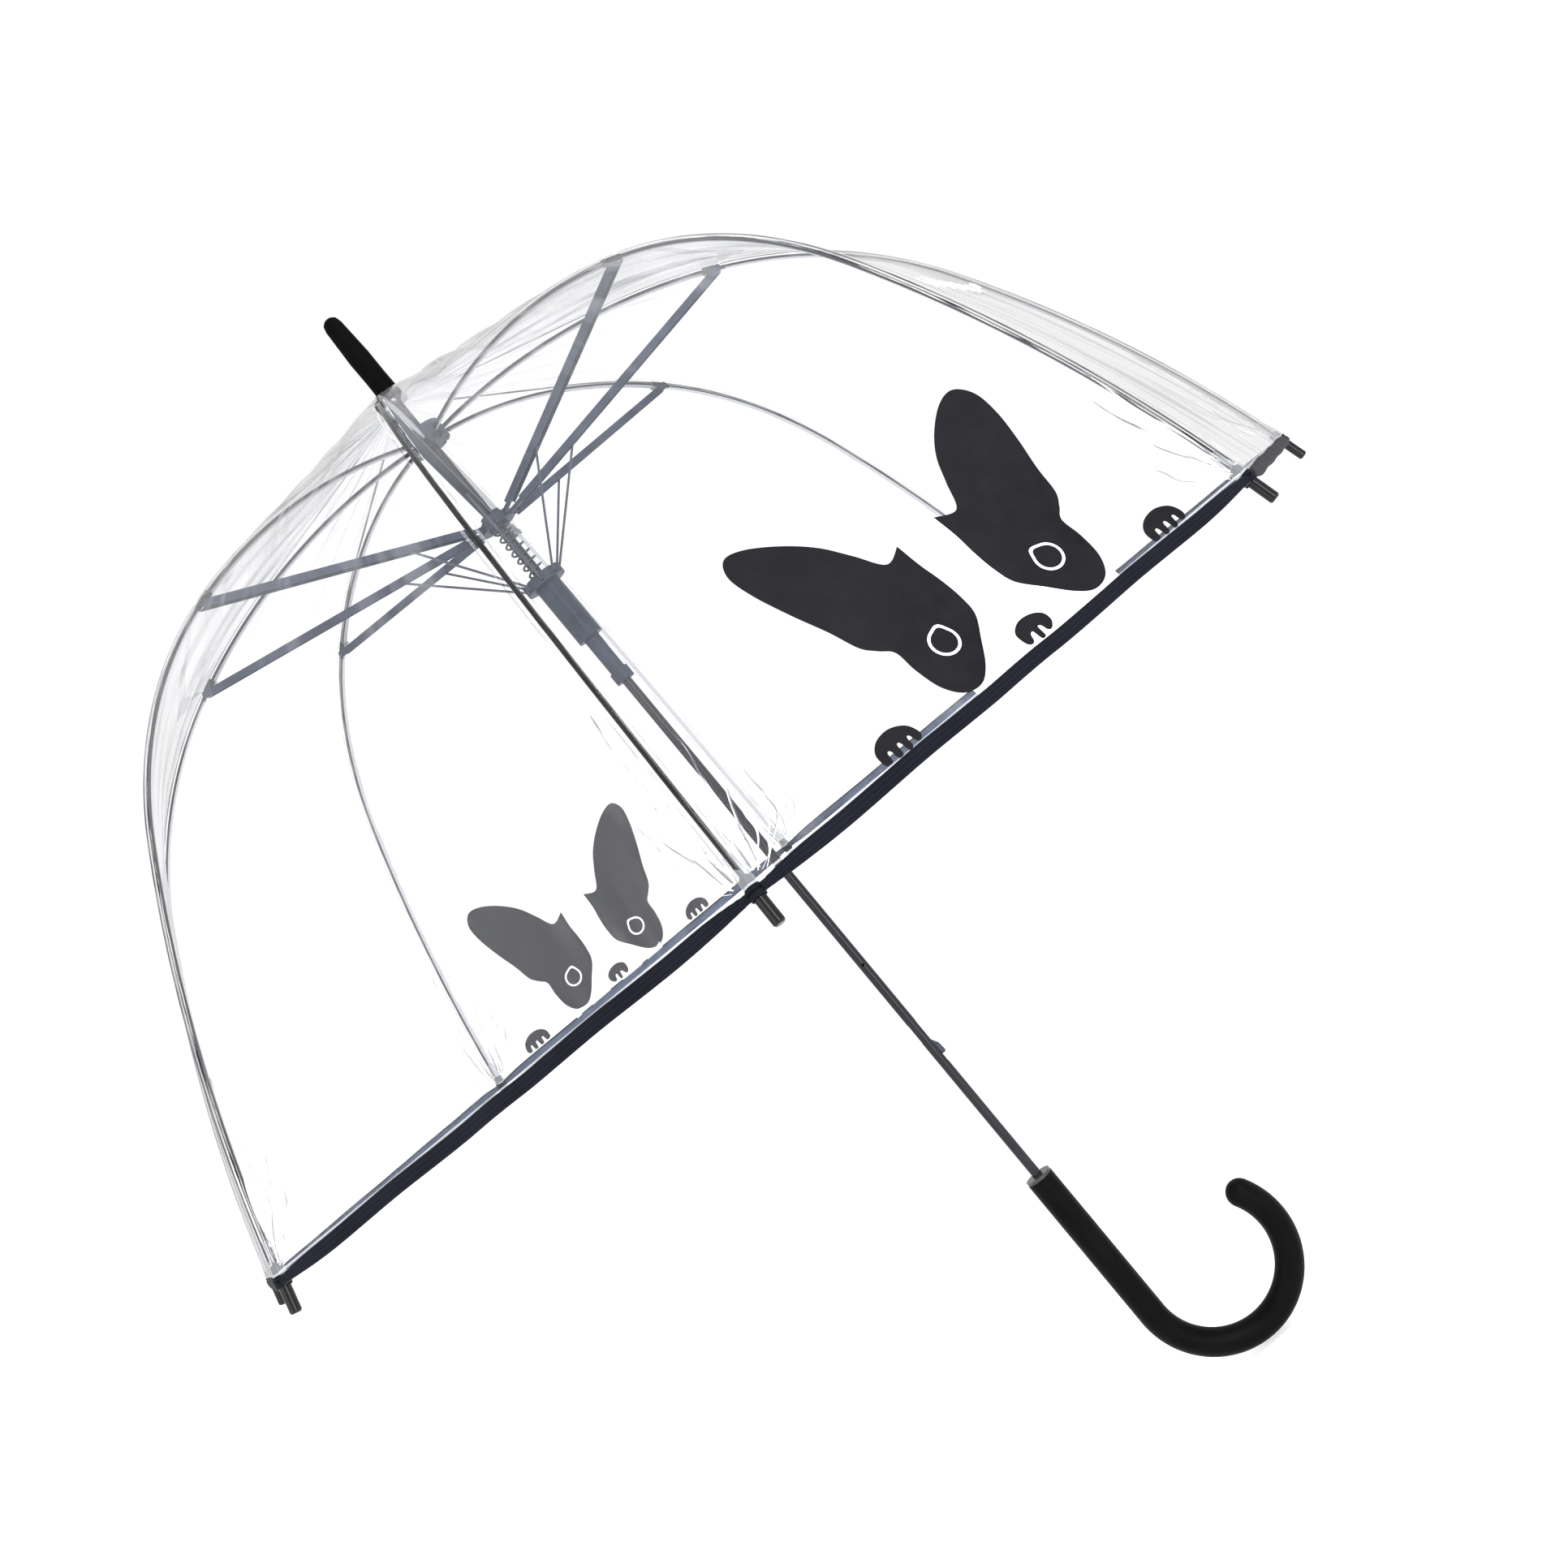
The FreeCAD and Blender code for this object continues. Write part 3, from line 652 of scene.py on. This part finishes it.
def uneven(i, side, k):
    return math.sin(2.3 * i + 1.7 * k + side)


def low_creases(i, side):
    """A fan of sharp creases gathered at the rib's tip."""
    lines = []
    for k in range(LOW_CREASES):
        q = uneven(i, side, k)
        end = (6.0 + 3.8 * k + 3 * q, 96 - 13 * k + 14 * q)
        lines.append((4.0 + 0.9 * k, 9.0 - 0.7 * k, *end, 1.5 - 0.08 * k + 0.4 * q))
    return lines


def up_creases(i, side):
    """Soft folds that run down from the crown."""
    lines = []
    for k in range(UP_CREASES):
        q = uneven(i, side, k)
        end = (9.0 + 15 * k + 5 * q, Y_JOINT + 70 - 34 * k + 20 * q)
        lines.append((4.0 + 3.2 * k, Y_CAP - 2, *end, 1.6 + 0.8 * q))
    return lines


creases_low, creases_up = {}, {}
for i in range(1, RIBS + 1):
    for side, tag in ((1, "a"), (-1, "b")):
        low = crease_lines("crease_low_%d%s" % (i, tag), i, side, low_creases(i, side),
                           MAT_CREASE, LOW_WANDER)
        up = crease_lines("crease_up_%d%s" % (i, tag), i, side, up_creases(i, side),
                          MAT_FOLD, UP_WANDER)
        creases_low[(i, side)], creases_up[(i, side)] = low, up
        for o, body in ((low, "rib_rod_%d" % i), (up, "rib_arm_%d" % i)):
            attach(o, body)
            pleat(o)

# ---------------------------------------------------------------- hem binding, folded round the film's edge
# (height above the rib line, distance up the film), once round the folded cloth
HEM_SECTION = [(3.3, 3.1), (3.65, 3.5), (4.1, 3.0), (4.25, 0.0), (4.05, -2.9), (3.4, -3.9), (2.5, -3.9),
               (2.1, -2.9), (2.05, -0.3), (2.12, 2.2), (2.35, 2.5), (2.55, 2.1), (2.6, -2.8), (3.2, -3.0),
               (3.25, 0.0)]
HEM_STEPS = 40
HEM_OUTSIDE = 3              # points above this height are on the outer flap, and crease more
# (distance up from the hem, radius) along the rod
CUFF = [(-2.2, 3.25), (-2.3, 3.8), (-1.0, 4.1), (0.2, 3.85), (0.8, 3.5), (1.5, 3.85), (2.8, 4.1), (3.4, 3.7),
        (3.2, 3.25)]
SLEEVE = [(3.4, 3.45), (5.5, 3.75), (8.0, 3.6), (10.0, 3.4), (12.5, 2.8), (16.0, 2.3), (21.0, 2.0)]
THREAD = [(0.4, 3.7), (0.55, 4.0), (1.1, 4.0), (1.25, 3.7)]
ROUND = 36


def hem_piece(i, side):
    """Half a panel's hem: pinched and creased at the rib's tip, slack and a little wavy beyond."""
    rows, uv_rows = [], []
    half0 = RIM[0] * SIN_H
    start = (TIP_R + 0.7) / COS_H
    for j in range(HEM_STEPS + 1):
        f = j / HEM_STEPS
        l = start + (half0 - start) * (f ** 1.35)
        near = math.exp(-((l - start) / 15.0) ** 1.4)
        pinch = 1 - 0.46 * near
        row, uv_row = [], []
        for k, (off, y) in enumerate(HEM_SECTION):
            crease = 0.45 * near * math.sin(l * 1.3 + i + y * 0.35) + 0.12 * math.sin(l * 0.19 + 2 * i)
            yy = y * pinch + 0.3 * math.sin(l * 0.07 + i) * (1 - near) * min(1, (half0 - l) / 20)
            h = l * (station(yy, off)[0] * SIN_H) / half0
            row.append(column(i, side, h, yy, off + crease * (0.4 + 0.6 * (off > HEM_OUTSIDE))))
            uv_row.append(((l + i * 30) * MM, (k * 1.6) * MM))
        if side < 0:
            row.reverse()
            uv_row.reverse()
        rows.append(row)
        uv_rows.append(uv_row)
    return grid("hem_%d%s" % (i, "a" if side > 0 else "b"), rows, MAT_HEM, uv_rows, closed=True)


def tube_round_rod(name, i, look, profile, waves, depth):
    """A crinkled sleeve round rib i's rod."""
    e, t = radial(rib_angle(i)), tangent(rib_angle(i))
    rows, uv_rows = [], []
    for y, rad in profile:
        r, z, a = station(y, 0.0)
        out = Vector((math.sin(a) * e.x, math.sin(a) * e.y, math.cos(a)))
        centre = Vector((r * e.x, r * e.y, z))
        row, uv_row = [], []
        for k in range(ROUND):
            q = 2 * math.pi * k / ROUND
            rr = rad + depth * math.sin(waves * q + i + 0.12 * y) * min(1.0, abs(y) / 8 + 0.35)
            row.append((centre + (out * math.cos(q) + t * math.sin(q)) * rr) * MM)
            uv_row.append((k / ROUND * 0.03, y * MM))
        rows.append(row)
        uv_rows.append(uv_row)
    return grid(name, rows, look, uv_rows, closed=True)


hem_of = {}
for i in range(1, RIBS + 1):
    rod = "rib_rod_%d" % i
    for side in (1, -1):
        h = hem_piece(i, side)
        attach(h, rod)
        pleat(h)
        hem_of[(i, side)] = h
    cuff = tube_round_rod("hem_cuff_%d" % i, i, MAT_HEM, CUFF, 7, 0.14)
    sleeve = tube_round_rod("film_sleeve_%d" % i, i, MAT_SLEEVE, SLEEVE, 7, 0.22)
    thread = tube_round_rod("cuff_thread_%d" % i, i, MAT_HANDLE, THREAD, 9, 0.08)
    for o, slot_name in ((cuff, "hem_fabric"), (sleeve, "clear_film"), (thread, "hem_fabric")):
        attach(o, rod)
    hem_of[(i, 0)] = [cuff, sleeve, thread]


# ---------------------------------------------------------------- print: a plain dog face, own drawing
FACE_X = 17.5                # the face stands a little to one side of the panel's middle
FACE_X_BACK = 26.0
HALF_FACE = [(12, 83, True), (23, 79), (31, 93), (39, 107), (50, 119), (64, 129), (75, 131), (81, 122),
             (80, 107), (75, 88), (69, 70), (65, 55), (60, 48), (55, 42), (55, 30), (53, 17), (47, 8),
             (38, 6), (30, 11), (21, 22), (13, 33), (11, 44), (11, 56), (12, 69)]
EYE = (34.5, 32.0)
EYE_OUT, EYE_LINE = 7.4, 1.4
EYE_STEPS = 36
BLAZE_EDGE = [(12, 83), (12.5, 69), (11.5, 56), (11.5, 44), (13.5, 33), (21.5, 22), (30.5, 11), (38, 6.5)]
BLAZE_FOOT = [(47, 8), (52, 10, True), (52, 1.5, True), (-43, 1.5, True), (-43, 8, True)]
BLAZE_NAPE = [(-12, 83, True), (0, 78)]
NOSE = [(-8, 8.5), (-7.5, 14), (-2, 17.5), (5, 17), (10, 13.5), (10.5, 8.5), (7.5, 5.2), (5.4, 6.0),
        (4.6, 9.3), (3.0, 9.8), (2.4, 4.5), (0.0, 4.4), (-0.6, 9.4), (-2.4, 9.0), (-4.0, 5.6), (-6.5, 5.4)]
PAW = [(-11.5, 6), (-11, 12), (-6, 16.5), (2, 17.5), (9, 14), (11.5, 8), (10, 4.8), (7.6, 5.2), (6.8, 9.0),
       (5.4, 9.2), (4.6, 4.6), (2.0, 4.3), (1.2, 9.2), (-0.4, 9.4), (-1.4, 4.5), (-4.2, 4.6), (-4.8, 9.0),
       (-6.4, 9.2), (-7.4, 5.0), (-9.8, 4.6)]
PAW_X = (-87.0, 90.0)
PRINT_GRID = 5.0             # inner points of a print, this far apart
BLACK_OFF, WHITE_OFF = FILM + 0.45, FILM + 0.3
LOOP_STEPS = 9


def smooth_loop(points):
    """Closed Catmull-Rom curve through the points; one with a third value True is a corner."""
    pts = [(p[0], p[1]) for p in points]
    corner = [len(p) > 2 and p[2] for p in points]
    n, out = len(pts), []
    for k in range(n):
        p1, p2 = pts[k], pts[(k + 1) % n]
        p0 = p1 if corner[k] else pts[k - 1]
        p3 = p2 if corner[(k + 1) % n] else pts[(k + 2) % n]
        for s in range(LOOP_STEPS):
            t = s / LOOP_STEPS
            q = []
            for d in (0, 1):
                a, b, c, e = p0[d], p1[d], p2[d], p3[d]
                q.append(0.5 * (2 * b + (c - a) * t + (2 * a - 5 * b + 4 * c - e) * t * t
                                + (3 * b - a - 3 * c + e) * t ** 3))
            out.append(tuple(q))
    return out


def clip_half(loop, sign):
    """Keeps the part of a loop on one side of x = 0."""
    out = []
    for k, p in enumerate(loop):
        q = loop[(k + 1) % len(loop)]
        inside_p, inside_q = p[0] * sign > 0, q[0] * sign > 0
        if inside_p:
            out.append(p)
        if inside_p != inside_q:
            f = p[0] / (p[0] - q[0])
            out.append((0.0, p[1] + (q[1] - p[1]) * f))
    return out


def divided(loop, step=3.0):
    """The same outline with its long straight edges cut up, so that it follows the curved film."""
    out = []
    for k, p in enumerate(loop):
        q = loop[(k + 1) % len(loop)]
        parts = max(1, math.ceil(math.dist(p[:2], q[:2]) / step))
        out += [(p[0] + (q[0] - p[0]) * j / parts, p[1] + (q[1] - p[1]) * j / parts) for j in range(parts)]
    return out


def inside(p, loop):
    hit = False
    for k, a in enumerate(loop):
        b = loop[(k + 1) % len(loop)]
        if (a[1] > p[1]) != (b[1] > p[1]) and p[0] < a[0] + (p[1] - a[1]) * (b[0] - a[0]) / (b[1] - a[1]):
            hit = not hit
    return hit


def loop_area(loop):
    return abs(sum(a[0] * b[1] - b[0] * a[1] for a, b in zip(loop, loop[1:] + loop[:1]))) / 2


def eye_loop(cx, cy, rad, flip):
    """Round eye with a small point at its inner upper corner."""
    tip = math.radians(65.0 if flip else 115.0)
    out = []
    for k in range(EYE_STEPS):
        q = 2 * math.pi * k / EYE_STEPS
        rr = rad * (1 + 0.22 * max(0.0, math.cos(q - tip)) ** 14)
        out.append((cx + rr * math.cos(q), cy + 1.06 * rr * math.sin(q)))
    return out


def moved(loop, dx, flip=False):
    return [((-p[0] if flip else p[0]) + dx, *p[1:]) for p in loop]


def print_shapes(fx):
    """(black loops with their holes, white loops with theirs) in panel mm, for a face at x = fx."""
    black, white = [], []
    for flip in (False, True):
        half = smooth_loop(moved(HALF_FACE, fx, flip))
        sign = -1 if flip else 1
        ring = eye_loop(fx + sign * EYE[0], EYE[1], EYE_OUT, flip)
        hole = eye_loop(fx + sign * EYE[0], EYE[1], EYE_OUT - EYE_LINE, flip)
        black.append((half, [ring]))
        black.append((hole, []))
        white.append((ring, [hole]))
    right = [(x, y, k == 0) for k, (x, y) in enumerate(BLAZE_EDGE)]
    left = [(-x, y, False) for x, y in reversed(BLAZE_EDGE)]
    nose = smooth_loop(moved(NOSE, fx))
    white.append((smooth_loop(moved(right + BLAZE_FOOT + left[:-1] + BLAZE_NAPE, fx)), [nose]))
    black.append((nose, []))
    for px in PAW_X:
        black.append((smooth_loop(moved(PAW, fx + px)), []))
    return black, white


def grid_points(loop, holes):
    """Points of a square grid that lie on the shape."""
    xs, ys = [p[0] for p in loop], [p[1] for p in loop]
    found = []
    x = math.floor(min(xs) / PRINT_GRID) * PRINT_GRID
    while x < max(xs):
        y = math.floor(min(ys) / PRINT_GRID) * PRINT_GRID
        while y < max(ys):
            q = (x + 0.07, y + 0.05)
            if inside(q, loop) and not any(inside(q, h) for h in holes):
                found.append(Vector(q))
            y += PRINT_GRID
        x += PRINT_GRID
    return found


def print_piece(name, panel, sign, shapes, look, off):
    """The part of the shapes on one half of a panel, laid on the film."""
    verts, faces, uvs = [], [], []
    for outline, holes in shapes:
        loop = divided(clip_half(outline, sign))
        if len(loop) < 3 or loop_area(loop) < 2.0:
            continue
        cut = [divided(clip_half(h, sign)) for h in holes]
        cut = [h for h in cut if len(h) > 2]
        pts, edges = [], []
        for ring in [loop] + cut:
            b = len(pts)
            pts += [Vector(p) for p in ring]
            edges += [(b + k, b + (k + 1) % len(ring)) for k in range(len(ring))]
        pts += grid_points(loop, cut)
        got = delaunay_2d_cdt(pts, edges, [], 0, 1e-5)
        base = len(verts)
        for v in got[0]:
            verts.append(surf(panel, v.x, v.y, off))
            uvs.append((v.x * MM, v.y * MM))
        for f in got[2]:
            c = sum((got[0][k] for k in f), Vector((0, 0))) / len(f)
            if inside(c, loop) and not any(inside(c, h) for h in cut):
                faces.append(tuple(base + k for k in f))
    if not faces:
        return None
    return mesh_object(name, verts, faces, uvs, look)


prints_on = {}
for panel, face_x in ((1, FACE_X), (5, FACE_X_BACK)):
    black, white = print_shapes(face_x)
    for sign, hand in ((-1, "l"), (1, "r")):
        rib = panel if sign < 0 else panel % RIBS + 1
        made = []
        for tag, shapes, look, off in (("black", black, MAT_PRINT, BLACK_OFF),
                                       ("white", white, MAT_WHITE, WHITE_OFF)):
            o = print_piece("print_%s_%d%s" % (tag, panel, hand), panel, sign, shapes, look, off)
            if o is None:
                continue
            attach(o, "rib_rod_%d" % rib)
            pleat(o)
            made.append(o)
        prints_on[(rib, -sign)] = made

# ---------------------------------------------------------------- tie strap on the panel between ribs 2 and 3
STRAP_PANEL = 2
STRAP_R = 344.0              # the strap lies across the panel at this radius
STRAP_LONG, STRAP_HALF, STRAP_FLAT = 140, 6.0, 5.6   # its edges turn down beyond STRAP_FLAT
STRAP_STEPS = 48
Y_STRAP = y_at_radius(STRAP_R)
SNAP_X, SNAP_OFF = 62.0, FILM + 2.2
# (height, radius) of a snap's face
SNAP_PROFILE = ((0.0, 4.0), (0.7, 4.0), (1.0, 3.6), (1.0, 2.6), (0.75, 2.3), (0.75, 1.2), (1.3, 1.0),
                (1.4, 0.02))
SNAP_ROUND = 24


def strap_band():
    """A flat band that stands off the film, most in its middle, with its edges turned down."""
    rows, uv_rows = [], []
    for k in range(STRAP_STEPS + 1):
        x = -STRAP_LONG / 2 + STRAP_LONG * k / STRAP_STEPS
        lift = 1.2 + 2.6 * math.sin(math.pi * k / STRAP_STEPS) ** 2 + 0.5 * math.sin(k * 0.9)
        row, uv_row = [], []
        for d, turned in ((-STRAP_HALF, 0.3), (-STRAP_FLAT, 0), (0.0, 0), (STRAP_FLAT, 0), (STRAP_HALF, 0.3)):
            row.append(surf(STRAP_PANEL, x, Y_STRAP + d + 1.5 * math.sin(k * 0.13), FILM + lift - turned))
            uv_row.append((x * MM, d * MM + 0.3))
        rows.append(row)
        uv_rows.append(uv_row)
    return grid("tie_strap_band", rows, MAT_STRAP, uv_rows)


def snap(name, x, node_name):
    rows, uv_rows = [], []
    c = surf(STRAP_PANEL, x, Y_STRAP, SNAP_OFF)
    up = (surf(STRAP_PANEL, x, Y_STRAP + 1, SNAP_OFF) - c).normalized()
    across = (surf(STRAP_PANEL, x + 1, Y_STRAP, SNAP_OFF) - c).normalized()
    out = across.cross(up).normalized()
    for h, rad in SNAP_PROFILE:
        row, uv_row = [], []
        for k in range(SNAP_ROUND):
            q = 2 * math.pi * k / SNAP_ROUND
            row.append(c + (across * math.cos(q) + up * math.sin(q)) * rad * MM + out * h * MM)
            uv_row.append((k / SNAP_ROUND * 0.02, h * MM))
        rows.append(row)
        uv_rows.append(uv_row)
    o = grid(name, rows, MAT_SNAP, uv_rows, closed=True)
    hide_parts(node_name)
    return o


strap = strap_band()
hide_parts("tie_strap")
snaps = [snap("snap_stud_cap", SNAP_X, "snap_stud"), snap("snap_socket_cap", -SNAP_X, "snap_socket")]
for o in [strap] + snaps:
    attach(o, "rib_rod_3")
    pleat(o)

# ---------------------------------------------------------------- opening spring
SPRING_R, WIRE_R, TURNS = 5.6, 0.75, 6.5
SPRING_STEPS, WIRE_ROUND = 260, 10


def spring_coil():
    lo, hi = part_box("opening_spring")
    z0, z1 = lo[2] / MM + WIRE_R, hi[2] / MM - WIRE_R
    rows, uv_rows = [], []
    up = Vector((0, 0, 1))
    for k in range(SPRING_STEPS + 1):
        f = k / SPRING_STEPS
        q = 2 * math.pi * TURNS * f
        centre = Vector((SPRING_R * math.cos(q), SPRING_R * math.sin(q), z0 + (z1 - z0) * f))
        out = radial(q)
        rows.append([(centre + (out * math.cos(b) + up * math.sin(b)) * WIRE_R) * MM
                     for b in (2 * math.pi * s / WIRE_ROUND for s in range(WIRE_ROUND))])
        uv_rows.append([(s / WIRE_ROUND * 0.005, f * 0.2) for s in range(WIRE_ROUND)])
    return grid("spring_coil", rows, MAT_WIRE, uv_rows, closed=True)


spring = spring_coil()
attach(spring, "slide_hub")
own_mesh(spring)
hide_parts("opening_spring")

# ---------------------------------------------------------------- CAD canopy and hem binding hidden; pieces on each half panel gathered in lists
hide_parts("canopy")
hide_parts("hem_binding")
for i in range(1, RIBS + 1):
    for side in (1, -1):
        low, up = lower_half[(i, side)], upper_half[(i, side)]
        on_low = [hem_of[(i, side)], creases_low[(i, side)]] + prints_on.get((i, side), [])
        on_up = [creases_up[(i, side)]]
        if side > 0:
            on_low += [lower_half[(i, 0)]] + hem_of[(i, 0)]
            on_up += [upper_half[(i, 0)]]
        if (i, side) == (3, -1):
            on_low += [strap] + snaps

# ---------------------------------------------------------------- floor, in metres like all that follows
FLOOR_Z = CAD_BOX[0].z - 0.003
FLOOR_HALF = 30.0
floor_look, floor_tree, floor_shader = material("pale_floor")
plug(floor_tree, ramp(floor_tree, noise(floor_tree, 3.0, 2.0), [(0.3, grey(0.93)), (0.7, grey(0.95))]),
     floor_shader.inputs["Base Color"])
set_inputs(floor_shader, Roughness=0.9, Specular_IOR_Level=0.1, Emission_Color=(1, 1, 1, 1),
           Emission_Strength=0.35)
corners = [(-1, -1), (1, -1), (1, 1), (-1, 1)]
floor = mesh_object("floor", [(x * FLOOR_HALF, y * FLOOR_HALF, FLOOR_Z) for x, y in corners], [(0, 1, 2, 3)],
                    [((x + 1) / 2, (y + 1) / 2) for x, y in corners], floor_look)

# ---------------------------------------------------------------- light: a white studio with three soft boxes
world = bpy.data.worlds.new("studio")
bpy.context.scene.world = world
world.use_nodes = True
set_inputs(world.node_tree.nodes["Background"], Color=(1, 1, 1, 1), Strength=1.05)

# name, place, aimed at, width, height, watts
LIGHTS = [
    ("key", (1.4, -1.6, 2.0), (0, 0, 0.4), 1.0, 1.0, 22),
    ("fill", (-1.6, -1.4, 0.9), (0, 0, 0.4), 1.4, 1.4, 10),
    ("strip", (0.80, -2.0, 0.45), (0, 0, 0.45), 0.70, 2.6, 34),
]
for name, place, target, wide, tall, power in LIGHTS:
    data = bpy.data.lights.new(name, "AREA")
    data.shape = "RECTANGLE"
    data.size, data.size_y, data.energy = wide, tall, power
    lamp = bpy.data.objects.new(name, data)
    lamp.location = place
    lamp.rotation_mode = "QUATERNION"
    lamp.rotation_quaternion = (Vector(target) - Vector(place)).to_track_quat("-Z", "Y")
    bpy.context.scene.collection.objects.link(lamp)

# ---------------------------------------------------------------- camera, solved from ribs, tips and shaft
CAMERA_AT = (0.0399, -1.1389, 0.328)
CAMERA_BACK = (0.0043, -0.9998, -0.0209)
CAMERA_RIGHT = (0.7689, 0.0167, -0.6392)
SENSOR, LENS = 36.0, 40.85   # mm
lens_data = bpy.data.cameras.new("camera")
lens_data.sensor_width = SENSOR
lens_data.lens = LENS
lens_data.clip_start, lens_data.clip_end = 0.05, 100.0
camera = bpy.data.objects.new("camera", lens_data)
bpy.context.scene.collection.objects.link(camera)
back = Vector(CAMERA_BACK).normalized()
right = Vector(CAMERA_RIGHT)
right = (right - back * right.dot(back)).normalized()
place = Matrix((right, back.cross(right), back)).transposed().to_4x4()
place.translation = Vector(CAMERA_AT)
camera.matrix_world = place
bpy.context.scene.camera = camera
bpy.context.scene.view_settings.view_transform = "Standard"
